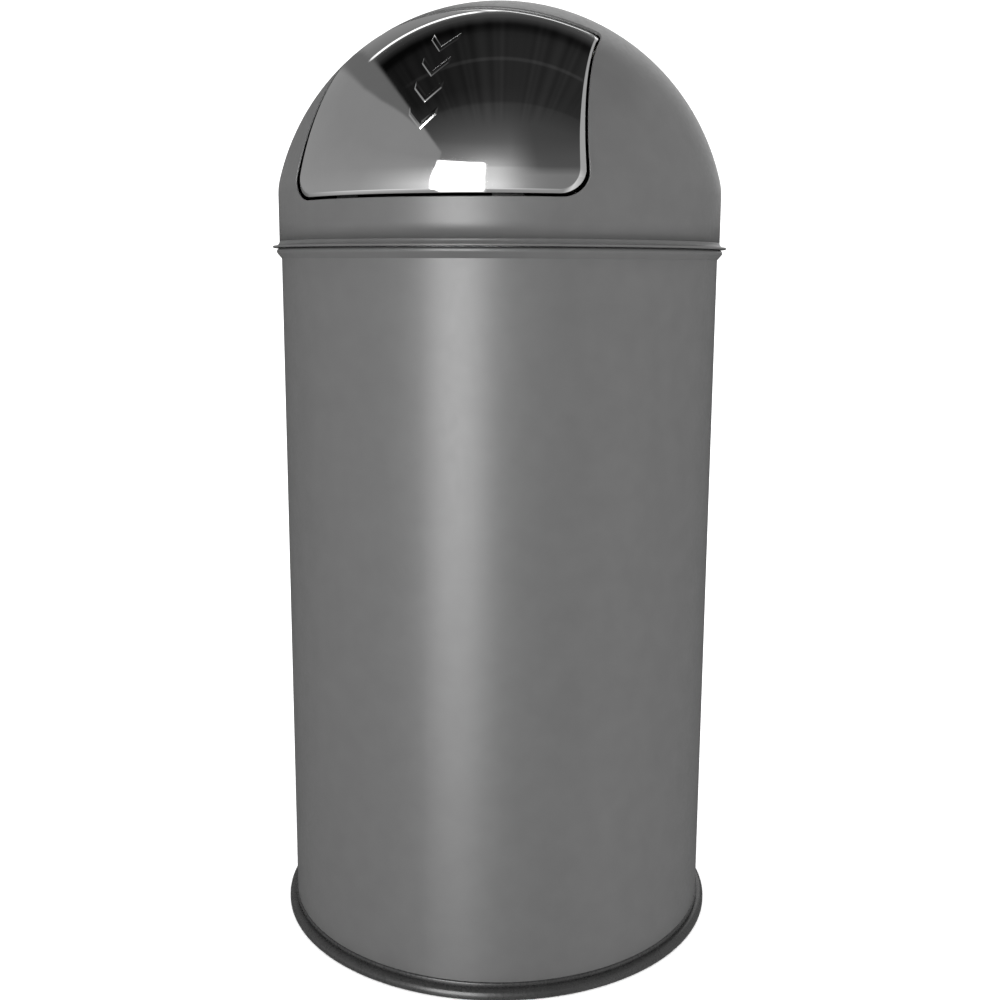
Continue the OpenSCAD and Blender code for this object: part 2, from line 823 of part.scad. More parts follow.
// Runs its children at each rivet of the +X side, with the rivet's axis along +X
module rivet_places() {
    for (sy = [-1, 1], sz = [-1, 1])
        rotate([0, 0, sy * asin(rivet_y / liner_in_r)])
        translate([0, 0, handle_z + sz * rivet_z])
        rotate([0, 90, 0])
        children();
}

module rivet_shank(reach) {
    cylinder(r = rivet_r, h = reach, $fn = 32);
}

// Domed rivet head on the plane z = 0
module rivet_head() {
    ball_r = (rivet_head_r * rivet_head_r + rivet_head_h * rivet_head_h) / (2 * rivet_head_h);
    intersection() {
        translate([0, 0, rivet_head_h - ball_r]) sphere(ball_r, $fn = 48);
        cylinder(r = rivet_head_r + over, h = rivet_head_h + over, $fn = 32);
    }
}

module liner_rivets() {
    strap_in = sqrt(pow(liner_in_r - strap_t, 2) - pow(rivet_head_r, 2));
    color("gainsboro")
    for (s = [0, 1])
        mirror([s, 0, 0])
        rivet_places() {
            translate([0, 0, strap_in - rivet_head_h / 2])
                rivet_shank(liner_r - strap_in + rivet_head_h);
            translate([0, 0, strap_in]) mirror([0, 0, 1]) rivet_head();
            translate([0, 0, liner_r]) rivet_head();
        }
}

// Quarter bend of the handle's wire, about the origin, from +X to +Y
module wire_bend() {
    rotate_extrude(angle = 90, $fn = 96)
        translate([handle_bend_r, 0]) circle(handle_wire_r, $fn = 48);
}

// Straight wire from the origin along +X
module wire_bar(length) {
    rotate([0, 90, 0]) cylinder(r = handle_wire_r, h = length, $fn = 48);
}

// Quarter of the loop: half a bar, a bend and half a leg, of a loop w by l about the origin
module wire_quarter(w, l) {
    translate([0, l / 2, 0]) wire_bar(w / 2 - handle_bend_r);
    translate([w / 2 - handle_bend_r, l / 2 - handle_bend_r, 0]) wire_bend();
    translate([w / 2, 0, 0]) rotate([0, 0, 90]) wire_bar(l / 2 - handle_bend_r);
}

// Closed wire loop on the +X side, hanging from its barrel
module handle() {
    translate([handle_x, 0, handle_z - handle_l / 2])
    rotate([90, 0, 90])
    for (mx = [0, 1], my = [0, 1])
        mirror([mx, 0, 0]) mirror([0, my, 0]) wire_quarter(handle_w, handle_l);
}

module handle_right() {
    color("silver") handle();
}

module handle_left() {
    color("silver") mirror([1, 0, 0]) handle();
}

body_shell();
rim_wire();
base_plate();
base_ring();
liner_shell();
liner_bottom();
liner_rim_wire();
handle_bracket_left();
handle_bracket_right();
liner_rivets();
handle_left();
handle_right();
dome_shell();
dome_collar();
axle_bracket_left();
axle_bracket_right();
hinge_axle();
axle_clips();
spring_left();
spring_right();
flap_panel();
flap_ear_left();
flap_ear_right();
flap_bushes();
stop_tabs();
stop_buffers();
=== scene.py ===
import math

import bmesh
import bpy
from mathutils import Matrix, Vector


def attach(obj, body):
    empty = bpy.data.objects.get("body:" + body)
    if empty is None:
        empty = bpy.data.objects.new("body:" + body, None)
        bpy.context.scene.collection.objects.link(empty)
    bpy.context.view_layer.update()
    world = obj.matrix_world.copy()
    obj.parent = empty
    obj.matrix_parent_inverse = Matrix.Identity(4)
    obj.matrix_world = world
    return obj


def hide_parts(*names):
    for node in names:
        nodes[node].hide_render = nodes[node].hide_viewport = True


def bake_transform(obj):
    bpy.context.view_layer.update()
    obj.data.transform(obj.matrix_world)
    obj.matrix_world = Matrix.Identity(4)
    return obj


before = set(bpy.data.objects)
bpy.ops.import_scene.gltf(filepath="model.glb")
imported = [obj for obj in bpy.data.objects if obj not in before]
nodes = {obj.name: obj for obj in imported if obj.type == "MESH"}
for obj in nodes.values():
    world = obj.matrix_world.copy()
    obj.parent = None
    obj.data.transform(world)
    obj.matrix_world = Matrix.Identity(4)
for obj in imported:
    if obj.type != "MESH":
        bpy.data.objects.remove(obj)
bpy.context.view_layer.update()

# ---------------------------------------------------------------- The studio
# White paper under the bin, even white light, and a camera level with the bin's rim, to the
# right of the flap. What the chrome and the satin paint mirror is a tent round the bin: a tall
# soft light, a dark cloth roof, and walls of grey and white.
scene = bpy.context.scene
scene.view_settings.view_transform = "Standard"

# The camera's place, and its turn about the bin, tilt from straight down, and roll in degrees
CAMERA_PLACE = (0.329441, -0.956766, 0.541982)
CAMERA_TURN, CAMERA_TILT, CAMERA_ROLL = 19.0, 79.8815, 0.2693
camera_data = bpy.data.cameras.new("camera")
camera_data.lens = 43.886
camera_data.sensor_width = 36
camera_data.shift_x = 0.00154
camera_data.shift_y = -0.01628
camera = bpy.data.objects.new("camera", camera_data)
camera.matrix_world = (Matrix.Translation(CAMERA_PLACE)
                       @ Matrix.Rotation(math.radians(CAMERA_TURN), 4, "Z")
                       @ Matrix.Rotation(math.radians(CAMERA_TILT), 4, "X")
                       @ Matrix.Rotation(math.radians(CAMERA_ROLL), 4, "Z"))
scene.collection.objects.link(camera)
scene.camera = camera

world = bpy.data.worlds.new("white light")
world.use_nodes = True
sky = world.node_tree.nodes["Background"]
sky.inputs["Color"].default_value = (1, 1, 1, 1)
sky.inputs["Strength"].default_value = 1.45
scene.world = world


def grey(shade):
    """Brightness of a grey that a photograph shows as this shade, from 0 to 255."""
    return ((shade / 255 + 0.055) / 1.055) ** 2.4


def ramp(value, stops):
    """Straight lines between (place, value) stops."""
    if value <= stops[0][0]:
        return stops[0][1]
    for (a, va), (b, vb) in zip(stops, stops[1:]):
        if value <= b:
            return va + (vb - va) * (value - a) / (b - a)
    return stops[-1][1]


SOFTBOX_LIGHT = 9
ROOF_LOW = 42
# The roof's grey from behind the bin to the camera's side: (place in roof heights, grey)
ROOF_GREYS = [(-1.10, 124), (-1.00, 116), (-0.92, 90), (-0.82, 68), (-0.74, 62), (-0.70, 52),
              (-0.65, 44), (-0.60, 32), (-0.56, 21), (-0.52, 17), (-0.47, 20), (-0.42, 26),
              (-0.37, 33), (-0.28, 36), (0.00, 37), (0.30, 38), (0.48, 42), (0.52, 54),
              (0.62, 60), (0.75, 68), (1.00, 84), (1.28, 104)]


def between(a, b, share):
    """The value at that share of the way from a to b."""
    return a + (b - a) * share


def floor_light(right, up):
    """Brightness of the cloth on the floor, paler in front of the bin than behind it."""
    shade = ramp(right, [(-150, 90), (-110, 116), (-50, 140), (40, 136), (58, 206), (76, 160),
                         (130, 118), (160, 90)])
    shade = ramp(up, [(-60, 132), (-45, shade)])
    # The tall light's glow on it, which only the body's satin paint mirrors
    glow = 0.55 * ramp(right, [(-120, 0), (-80, 0.8), (-45, 1), (0, 1), (14, 0.5), (34, 0)])
    return grey(shade) + glow * ramp(up, [(-32, 0), (-18, 0.6), (-6, 1), (0, 0.4)])


def roof_light(ahead, aside, right, up):
    """Brightness of the cloth roof, in folds that run to the back, with a seam across."""
    shade = ramp(ahead, ROOF_GREYS)
    to_right = ramp(right, [(6, 0), (20, 1)])
    if ahead > 0.5 and right > 0:
        shade = between(shade, ramp(ahead, [(0.5, 50), (0.75, 62), (1.0, 67), (1.3, 73)]), to_right)
    if up < ROOF_LOW and abs(right) < 130:
        low = ramp(up, [(0, 106), (28, 112), (38, 104)])
        low = between(low, ramp(up, [(17, 114), (24, 96), (30, 77), (ROOF_LOW, 68)]), to_right)
        shade = between(shade, low, ramp(up, [(34, 1), (ROOF_LOW, 0)]))
    folds = math.sin(aside * 105 + 2 * math.sin(aside * 31)) + math.sin(aside * 61 + 1.3)
    shade += 2.2 * folds * ramp(up, [(50, 0), (60, 1)])
    shade += 13 * ramp(abs(ahead), [(0.012, 1), (0.03, 0)]) * ramp(up, [(55, 0), (62, 1)])
    shade -= ramp(aside, [(-0.62, 15), (-0.25, 9), (0.0, 0)]) * ramp(ahead, [(0.3, 1), (0.6, 0)])
    return grey(max(shade, 6))


def left_wall_light(right, up, rise):
    """Brightness of the grey wall to the left, with a darker band along its top."""
    shade = ramp(right, [(-150, 140), (-100, 141), (-73, 144), (-61, 156), (-50, 176), (-39, 200),
                         (-33, 222)])
    shade = ramp(up, [(4, shade), (18, 0.6 * shade + 52), (34, 128)])
    if right < -54:
        low = ramp(right, [(-118, 1.05), (-94, 1.1), (-71, 1.2), (-58, 1.25)])
        band = ramp(rise, [(low, 0), (low + 0.04, 1)]) * ramp(right, [(-58, 1), (-54, 0)])
        shade = between(shade, 98, band)
    return grey(shade)


def back_wall_light(light, turned, rise):
    """Adds the wall behind the bin, white to the right, with tube lights along its top."""
    shade = ramp(turned, [(142, 156), (152, 245), (184, 245), (188, 138), (217, 100)])
    there = ramp(rise, [(0.86, 1), (0.91, 0)]) * ramp(turned, [(110, 0), (142, 1)])
    light = between(light, grey(shade), there)
    long_tube = ramp(turned, [(184, 0), (187, 1), (214, 1), (220, 0)])
    light += 1.4 * ramp(abs(rise - 1.005), [(0.025, 1), (0.05, 0)]) * long_tube
    short_tube = ramp(turned, [(146, 0), (152, 1), (182, 1), (185, 0)])
    return light + 1.4 * ramp(abs(rise - 0.95), [(0.05, 1), (0.08, 0)]) * short_tube


def tent_light(right, up):
    """Brightness of the tent, in degrees to the right of the camera and up from the floor."""
    softbox = ramp(right, [(-33.5, 0), (-32.5, 1), (-9, 1), (-7.5, 0)])
    if up < 2:
        softbox *= ramp(up, [(-42, 0), (-30, 0.25), (-12, 1)])
        return max(floor_light(right, up), SOFTBOX_LIGHT * softbox)
    # Where the line of sight meets a flat roof, in front of the bin and to its right
    reach = 1 / math.tan(math.radians(min(up, 89.5)))
    ahead = reach * math.cos(math.radians(right))
    aside = reach * math.sin(math.radians(right))
    light = roof_light(ahead, aside, right, up)
    # The glow of the tall light on the cloth beside it
    if right > -40:
        glow = ramp(up, [(0, 205), (12, 186), (28, 168), (33, 128), (38, 60), (44, 0)])
        light += grey(glow) * math.exp(-((right + 6) / 15) ** 2)
    # The pale wall to the right, with a second, dim light in it
    if right > 40:
        there = ramp(right, [(52, 0), (64, 1)]) * ramp(up, [(41, 1), (46, 0)])
        light = between(light, grey(156), there)
        light += ramp(up, [(3, 0.2), (16, 0.1), (24, 0)]) * ramp(abs(right - 60), [(8, 1), (20, 0)])
    # How far up the left wall and the back wall the line of sight meets them
    left_rise = -1 / aside if aside < 0 else 99
    back_rise = -1 / ahead if ahead < 0 else 99
    if right < -32.5 and left_rise < 1.40:
        there = ramp(left_rise, [(1.35, 1), (1.40, 0)])
        light = between(light, left_wall_light(right, up, left_rise), there)
    turned = (right + 360) % 360
    if turned > 110 and left_rise > 1.34:
        light = back_wall_light(light, turned, back_rise)
    return max(light, SOFTBOX_LIGHT * softbox * ramp(up, [(31.5, 1), (33, 0)]))


def stage_piece(name, bm, material):
    """Floor or tent: a mesh that isn't part of the bin."""
    mesh = bpy.data.meshes.new(name)
    bm.to_mesh(mesh)
    bm.free()
    mesh.materials.append(material)
    piece = bpy.data.objects.new(name, mesh)
    scene.collection.objects.link(piece)
    return piece


FLOOR_HALF = 20
paper = bpy.data.materials.new("white_paper")
paper.use_nodes = True
paper_shader = paper.node_tree.nodes["Principled BSDF"]
paper_shader.inputs["Base Color"].default_value = (0.93, 0.93, 0.93, 1)
paper_shader.inputs["Roughness"].default_value = 0.95
paper_shader.inputs["Specular IOR Level"].default_value = 0.0
paper_shader.inputs["Emission Color"].default_value = (1, 1, 1, 1)
paper_shader.inputs["Emission Strength"].default_value = 0.25
bm = bmesh.new()
bmesh.ops.create_grid(bm, x_segments=2, y_segments=2, size=FLOOR_HALF)
stage_piece("paper_floor", bm, paper).visible_glossy = False

TENT_R, TENT_Z = 6, 0.65
# The share of light that chrome mirrors, which the tent makes up for
MIRRORED = 0.9
cloth = bpy.data.materials.new("tent_cloth")
cloth.use_nodes = True
cloth.node_tree.nodes.remove(cloth.node_tree.nodes["Principled BSDF"])
glow_node = cloth.node_tree.nodes.new("ShaderNodeEmission")
shade_node = cloth.node_tree.nodes.new("ShaderNodeAttribute")
shade_node.attribute_name = "light"
cloth.node_tree.links.new(shade_node.outputs["Color"], glow_node.inputs["Color"])
cloth.node_tree.links.new(glow_node.outputs["Emission"],
                          cloth.node_tree.nodes["Material Output"].inputs["Surface"])
bm = bmesh.new()
bmesh.ops.create_uvsphere(bm, u_segments=360, v_segments=360, radius=TENT_R)
bmesh.ops.translate(bm, vec=(0, 0, TENT_Z), verts=bm.verts)
tent = stage_piece("light_tent", bm, cloth)
light_layer = tent.data.color_attributes.new("light", "FLOAT_COLOR", "POINT")
for vertex, colour in zip(tent.data.vertices, light_layer.data):
    x, y, z = vertex.co - Vector((0, 0, TENT_Z))
    right = (math.degrees(math.atan2(y, x)) + 90 - CAMERA_TURN + 180) % 360 - 180
    shade = tent_light(right, math.degrees(math.atan2(z, math.hypot(x, y)))) / MIRRORED
    colour.color = (shade, shade, shade, 1)
tent.visible_camera = False
tent.visible_diffuse = False
tent.visible_shadow = False
tent.visible_transmission = False

# ---------------------------------------------------------------- The body
# A rolled and welded tube of one millimetre steel, its mouth rolled outwards over a wire,
# its foot open for the pressed base plate. The outside is powder coated a satin mid grey.


def arc(centre, radius, start, end, steps):
    """Points of an arc in the plane of the section, from the start to the end in degrees."""
    return [(centre[0] + radius * math.cos(math.radians(start + (end - start) * i / steps)),
             centre[1] + radius * math.sin(math.radians(start + (end - start) * i / steps)))
            for i in range(steps + 1)]


def spun(bm, section, steps=192, closed=True, start=0.0, angle=360.0):
    """Turns a section, given as (radius, height), about the bin's axis."""
    turn = Matrix.Rotation(math.radians(start), 3, "Z")
    ring = [bm.verts.new(turn @ Vector((r, 0, z))) for r, z in section]
    edges = [bm.edges.new(pair) for pair in zip(ring, ring[1:])]
    if closed:
        edges.append(bm.edges.new((ring[-1], ring[0])))
    before = set(bm.faces)
    bmesh.ops.spin(bm, geom=ring + edges, cent=(0, 0, 0), axis=(0, 0, 1), dvec=(0, 0, 0),
                   angle=math.radians(angle), steps=steps, use_merge=angle == 360.0)
    bmesh.ops.remove_doubles(bm, verts=bm.verts, dist=1e-6)
    faces = [face for face in bm.faces if face not in before]
    bmesh.ops.recalc_face_normals(bm, faces=faces)
    return faces


def finished(name, bm, material, body, *stands_for, slot=None, crease=35):
    """Makes a piece from its mesh, smooth but for edges sharper than the crease."""
    mesh = bpy.data.meshes.new(name)
    bm.to_mesh(mesh)
    bm.free()
    mesh.shade_smooth()
    if crease:
        mesh.set_sharp_from_angle(angle=math.radians(crease))
    mesh.materials.append(material)
    piece = bpy.data.objects.new(name, mesh)
    scene.collection.objects.link(piece)
    if body:
        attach(piece, body)
    if stands_for:
        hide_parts(*stands_for)
    return piece


def material_nodes(name, **sockets):
    """A new material with its shader's plain numbers and colours set."""
    material = bpy.data.materials.new(name)
    material.use_nodes = True
    tree = material.node_tree
    shader = tree.nodes["Principled BSDF"]
    for socket, value in sockets.items():
        shader.inputs[socket.replace("_", " ")].default_value = value
    place = tree.nodes.new("ShaderNodeTexCoord")
    return material, tree, shader, place.outputs["Object"]


def noise(tree, place, scale, detail=2.0, rough=0.5, stretch=None):
    """A cloudy pattern, in features of one over the scale metres."""
    if stretch:
        mapping = tree.nodes.new("ShaderNodeMapping")
        mapping.inputs["Scale"].default_value = stretch
        tree.links.new(place, mapping.inputs["Vector"])
        place = mapping.outputs["Vector"]
    node = tree.nodes.new("ShaderNodeTexNoise")
    node.inputs["Scale"].default_value = scale
    node.inputs["Detail"].default_value = detail
    node.inputs["Roughness"].default_value = rough
    tree.links.new(place, node.inputs["Vector"])
    return node.outputs["Fac"]


def spread(tree, pattern, low, high, socket, start=0.3, end=0.7):
    """Feeds a pattern, spread from low to high, to a socket of the shader."""
    if isinstance(low, (int, float)):
        node = tree.nodes.new("ShaderNodeMapRange")
        node.inputs["From Min"].default_value = start
        node.inputs["From Max"].default_value = end
        node.inputs["To Min"].default_value = low
        node.inputs["To Max"].default_value = high
        tree.links.new(pattern, node.inputs["Value"])
        tree.links.new(node.outputs["Result"], socket)
    else:
        node = tree.nodes.new("ShaderNodeValToRGB")
        node.color_ramp.elements[0].position = start
        node.color_ramp.elements[0].color = (*low, 1)
        node.color_ramp.elements[1].position = end
        node.color_ramp.elements[1].color = (*high, 1)
        tree.links.new(pattern, node.inputs["Fac"])
        tree.links.new(node.outputs["Color"], socket)


def raise_grain(tree, shader, pattern, height, strength=1.0):
    """Bumps the surface by a pattern, by its height in metres."""
    bump = tree.nodes.new("ShaderNodeBump")
    bump.inputs["Distance"].default_value = height
    bump.inputs["Strength"].default_value = strength
    tree.links.new(pattern, bump.inputs["Height"])
    tree.links.new(bump.outputs["Normal"], shader.inputs["Normal"])


powder_coat, tree, shader, place = material_nodes("grey_powder_coat", Specular_IOR_Level=0.5)
spread(tree, noise(tree, place, 60, 4), (0.094,) * 3, (0.102,) * 3, shader.inputs["Base Color"])
spread(tree, noise(tree, place, 240, 3), 0.32, 0.38, shader.inputs["Roughness"])
raise_grain(tree, shader, noise(tree, place, 900, 2), 0.00002, 0.5)

SHEET = 0.001
BODY_R, BODY_LOW, BODY_MIDDLE, BODY_TOP = 0.175, 0.004, 0.3, 0.555
BEAD_R = 0.0024
BEAD = (BODY_R - SHEET + BEAD_R, BODY_TOP - BEAD_R)
# Where the bead's tail meets the wall, and where the wall is straight again
TAIL_Z, WALL_Z = 0.5472, 0.5455
bm = bmesh.new()
spun(bm, [(BODY_R - SHEET, BODY_LOW), (BODY_R - SHEET, BODY_MIDDLE)] + arc(BEAD, BEAD_R, 180, -40, 20)
     + [(BODY_R, z) for z in (TAIL_Z, WALL_Z, BODY_MIDDLE, BODY_LOW)])
finished("body_tube", bm, powder_coat, "bin", "body_shell", slot="powder_coat")


def dress(material, *names):
    """Gives nodes of the frame their finish."""
    for name in names:
        for material_slot in nodes[name].material_slots:
            material_slot.material = material


# The rolled mouth is closed round a zinc plated wire, and the foot plate is galvanised sheet
zinc, tree, shader, place = material_nodes("zinc_plating", Metallic=1.0)
spread(tree, noise(tree, place, 70, 4), (0.50, 0.50, 0.51), (0.60, 0.60, 0.60),
       shader.inputs["Base Color"])
spread(tree, noise(tree, place, 220, 4, 0.6), 0.28, 0.42, shader.inputs["Roughness"])
raise_grain(tree, shader, noise(tree, place, 1400, 2), 0.00002, 0.5)
dress(zinc, "rim_wire")


def spangle(tree, place, size):
    """Crystals of a galvanised sheet: patches of one grey each, about that wide."""
    cells = tree.nodes.new("ShaderNodeTexVoronoi")
    cells.inputs["Scale"].default_value = 1 / size
    cells.inputs["Randomness"].default_value = 1.0
    tree.links.new(place, cells.inputs["Vector"])
    apart = tree.nodes.new("ShaderNodeSeparateColor")
    tree.links.new(cells.outputs["Color"], apart.inputs["Color"])
    return apart.outputs["Red"]


galvanised, tree, shader, place = material_nodes("galvanised_sheet", Metallic=1.0)
crystals = spangle(tree, place, 0.011)
spread(tree, crystals, (0.47, 0.475, 0.48), (0.56, 0.565, 0.57), shader.inputs["Base Color"], 0, 1)
spread(tree, crystals, 0.36, 0.48, shader.inputs["Roughness"], 0, 1)
raise_grain(tree, shader, noise(tree, place, 160, 4), 0.00004, 0.5)
dress(galvanised, "base_plate")

# ---------------------------------------------------------------- The base ring
# A ring moulded in black plastic and pressed on the foot of the body. It bows outwards to
# keep scuffs off the paint, and ends at the top in a thin lip above a groove.
black_plastic, tree, shader, place = material_nodes("black_moulded_plastic", Specular_IOR_Level=0.5)
spread(tree, noise(tree, place, 90, 4), (0.028,) * 3, (0.034,) * 3, shader.inputs["Base Color"])
spread(tree, noise(tree, place, 300, 3), 0.24, 0.32, shader.inputs["Roughness"])
raise_grain(tree, shader, noise(tree, place, 1100, 2), 0.00001, 0.3)

RING_R, RING_TOP = 0.1818, 0.0115
EDGE_R = 0.002
# The bowed face is widest at one height and curves in, by a little less than a quarter turn
BOW_R, BOW_Z, BOW_TURN = 0.0043012, 0.0035, 88.652
GROOVE_R, GROOVE_LOW, GROOVE_TOP = 0.1757, 0.0078, 0.0090
LIP_R = 0.0013
LEDGE_R = 0.165
edge = arc((RING_R - EDGE_R, EDGE_R), EDGE_R, -90, 0, 6)
bow = arc((RING_R - BOW_R, BOW_Z), BOW_R, 0, BOW_TURN, 12)
lip = arc((BODY_R, RING_TOP - LIP_R), LIP_R, 0, 90, 6)
bm = bmesh.new()
spun(bm, [(LEDGE_R, 0.0)] + edge + bow
     + [(GROOVE_R, GROOVE_LOW), (GROOVE_R, GROOVE_TOP), (BODY_R + LIP_R, GROOVE_TOP)]
     + lip + [(BODY_R, BODY_LOW), (LEDGE_R, BODY_LOW)])
finished("foot_ring", bm, black_plastic, "bin", "base_ring", slot="black_plastic")

# ---------------------------------------------------------------- The liner
# A loose bucket of galvanised sheet, its rim rolled over a wire and its bottom pressed in.
# On each side a bracket, riveted on, holds a bent wire handle that folds down inside.
dress(galvanised, "liner_shell", "liner_bottom")
dress(zinc, "liner_rim_wire", "handle_bracket_left", "handle_bracket_right", "handle_left",
      "handle_right")
bright_rivet, tree, shader, place = material_nodes("rivet_steel", Metallic=1.0)
spread(tree, noise(tree, place, 400, 3), (0.62,) * 3, (0.72,) * 3, shader.inputs["Base Color"])
spread(tree, noise(tree, place, 900, 3), 0.22, 0.34, shader.inputs["Roughness"])
raise_grain(tree, shader, noise(tree, place, 1800, 2), 0.00002, 0.5)
dress(bright_rivet, "liner_rivets")

# ---------------------------------------------------------------- The domed head
# One steel pressing: a ball-shaped crown, a tight shoulder and a short straight skirt that
# ends in a hemmed flange on the body's bead. The flap's opening is cut in its front with
# the edge turned in, and the whole head has the body's grey powder coat.
CROWN_R, CROWN_Z = 0.1805, 0.5639
SKIRT_R = 0.1765
SHOULDER_R = 0.049
SHOULDER = (SKIRT_R - SHOULDER_R, CROWN_Z + math.sqrt((CROWN_R - SHOULDER_R) ** 2
                                                      - (SKIRT_R - SHOULDER_R) ** 2))
SHOULDER_ANGLE = math.degrees(math.atan2(SHOULDER[1] - CROWN_Z, SHOULDER[0]))
LEAN_DEGREES = 8.3
LEAN = math.radians(LEAN_DEGREES)
OPENING_LOW, OPENING_TOP = 0.5882, 0.7295
OPENING_HALF = SKIRT_R * math.sin(math.radians(40.2))
TOP_R = 0.231
LOW_CORNER_R, TOP_CORNER_R = 0.016, 0.011
# The opening's edge is rounded and turned in, and the flange is a hem below a cove
ROUND_R, OPENING_TURN = 0.0006, 0.0012
HEM, HEM_R = (0.1809, 0.5562), 0.0009
COVE, COVE_R = (0.1799, 0.5605), 0.0034


def skin(x, z, lift=0.0):
    """Point of the dome's outer face behind a point of the front view, raised by the lift."""
    if z < SHOULDER[1]:
        radius = SKIRT_R
    else:
        radius = SHOULDER[0] + math.sqrt(max(SHOULDER_R ** 2 - (z - SHOULDER[1]) ** 2, 0))
        if math.atan2(z - CROWN_Z, radius) > math.radians(SHOULDER_ANGLE):
            radius = math.sqrt(max(CROWN_R ** 2 - (z - CROWN_Z) ** 2, 0))
    point = Vector((x, -math.sqrt(max(radius ** 2 - x ** 2, 0)), z))
    return point + lift * skin_normal(point)


def skin_centre(point):
    """The point that the dome's face curves round at a point of the face."""
    flat = Vector((point.x, point.y, 0))
    if math.atan2(point.z - CROWN_Z, flat.length) > math.radians(SHOULDER_ANGLE):
        return Vector((0, 0, CROWN_Z)), CROWN_R
    if point.z > SHOULDER[1]:
        return flat.normalized() * SHOULDER[0] + Vector((0, 0, SHOULDER[1])), SHOULDER_R
    return Vector((0, 0, point.z)), SKIRT_R


def skin_normal(point):
    """Outward direction of the dome's face at a point of it or under it."""
    return (point - skin_centre(point)[0]).normalized()


def skin_depth(point):
    """How deep a point lies under the dome's face."""
    centre, radius = skin_centre(point)
    return radius - (point - centre).length


def side_at(z, inset):
    """Half-width of the opening's straight side at a height, drawn in by the inset."""
    return OPENING_HALF - (z - OPENING_LOW) * math.tan(LEAN) - inset / math.cos(LEAN)


# The top is an arc about a centre on the middle line, and meets the corners on one ray
TOP_Z = OPENING_TOP - TOP_R
CORNER_Z = 0.7008347
SIDE_LOW = 0.604
top_corner = (side_at(CORNER_Z, TOP_CORNER_R), CORNER_Z)
RAY = math.atan2(CORNER_Z - TOP_Z, top_corner[0])


def low_corner(gap, low_gap):
    """Centre of the lower corner of the opening, or of a plate in it with these gaps."""
    z = OPENING_LOW + low_gap + LOW_CORNER_R
    return side_at(z, gap + LOW_CORNER_R), z


def outward(point, low):
    """Direction square to the outline with that lower corner, seen from the front."""
    x, z = abs(point.x), point.z
    high = math.atan2(z - top_corner[1], x - top_corner[0])
    below = math.atan2(z - low[1], x - low[0])
    if x > low[0] and below < LEAN or z < low[1]:
        angle = max(below, -math.pi / 2) if x > low[0] else -math.pi / 2
    elif x > top_corner[0] and high < RAY:
        angle = max(high, LEAN)
    else:
        angle = math.atan2(z - TOP_Z, x)
    return Vector((math.copysign(math.cos(angle), point.x), 0, math.sin(angle)))


def outline_planes(gap, low_gap, margin, lean=0.0, rise=0.0):
    """Upright planes, as (point, outward direction), that bound the outline less a margin.
    The margin is a function of the outward direction, in degrees up from sideways. The
    upper left corner stands wider by the lean, and the top higher by the rise."""
    turns = [(low_corner(gap, low_gap), LOW_CORNER_R, a) for a in range(-85, 8, 5)]
    turns += [(top_corner, TOP_CORNER_R - gap, a) for a in range(15, 66, 7)]
    turns += [((0, TOP_Z), TOP_R - gap, a) for a in range(67, 90)]
    planes = [(Vector((0, 0, OPENING_LOW + low_gap + margin(-90))), Vector((0, 0, -1))),
              (Vector((0, 0, OPENING_TOP - gap + rise - margin(90))), Vector((0, 0, 1)))]
    # The margin of a straight side changes evenly from its lower end to its upper end
    foot = Vector((side_at(SIDE_LOW, gap + margin(0)), 0, SIDE_LOW))
    for side, wider in ((1, 0.0), (-1, lean)):
        head = Vector((side_at(CORNER_Z, gap + margin(LEAN_DEGREES)) + wider, 0, CORNER_Z))
        slope = (head - foot).normalized()
        planes.append((Vector((side * foot.x, 0, foot.z)), Vector((side * slope.z, 0, -slope.x))))
        for (cx, cz), radius, angle in turns:
            if angle > 10:
                cx, cz = cx + wider, cz + rise
            out = Vector((side * math.cos(math.radians(angle)), 0, math.sin(math.radians(angle))))
            planes.append((Vector((side * cx, 0, cz)) + (radius - margin(angle)) * out, out))
    return planes


def turn_edge(bm, edges, low, side, width, profile, depth):
    """Turns a cut edge in under the face: along a profile as wide as the width at each
    point, then in a strip to the depth. The profile gives (reach, sink) for a width and
    the direction in which the edge faces."""
    frames = {}
    for vertex in {v for edge in edges for v in edge.verts}:
        normal = skin_normal(vertex.co)
        out = side * outward(vertex.co, low)
        along = (out - out.dot(normal) * normal).normalized()
        points = profile(width(vertex.co) / along.dot(out), out)
        frames[vertex] = (vertex.co.copy(), along, normal, points + [(points[-1][0], depth)])
    for i in range(len(points) + 1):
        made = bmesh.ops.extrude_edge_only(bm, edges=edges)["geom"]
        next_frames = {}
        for vertex in [g for g in made if isinstance(g, bmesh.types.BMVert)]:
            old = next(e.other_vert(vertex) for e in vertex.link_edges
                       if e.other_vert(vertex) in frames)
            start, along, normal, line = frames[old]
            vertex.co = start + along * line[i][0] - normal * line[i][1]
            next_frames[vertex] = frames[old]
        frames = next_frames
        edges = [g for g in made if isinstance(g, bmesh.types.BMEdge)
                 and all(v in frames for v in g.verts)]


def quarter_round(width, out):
    """Profile of a plain round edge."""
    return [(width * math.sin(a), width * (1 - math.cos(a)))
            for a in (math.radians(15 * i) for i in range(1, 7))]


def lay_normals(piece, relief=lambda point: None):
    """Gives each point of a dome-shaped sheet the true direction of its face, or of the
    relief on it. The points of a bevel or a turned edge keep their own."""
    close = 2e-5
    normals = []
    for vertex in piece.data.vertices:
        depth = skin_depth(vertex.co)
        normal = skin_normal(vertex.co)
        facing = vertex.normal.dot(normal)
        if abs(depth) < close and facing > 0.998:
            normals.append(normal)
        elif abs(depth - SHEET) < close and facing < -0.99:
            normals.append(-normal)
        else:
            normals.append(relief(vertex.co) or vertex.normal.copy())
    piece.data.normals_split_custom_set_from_vertices(normals)


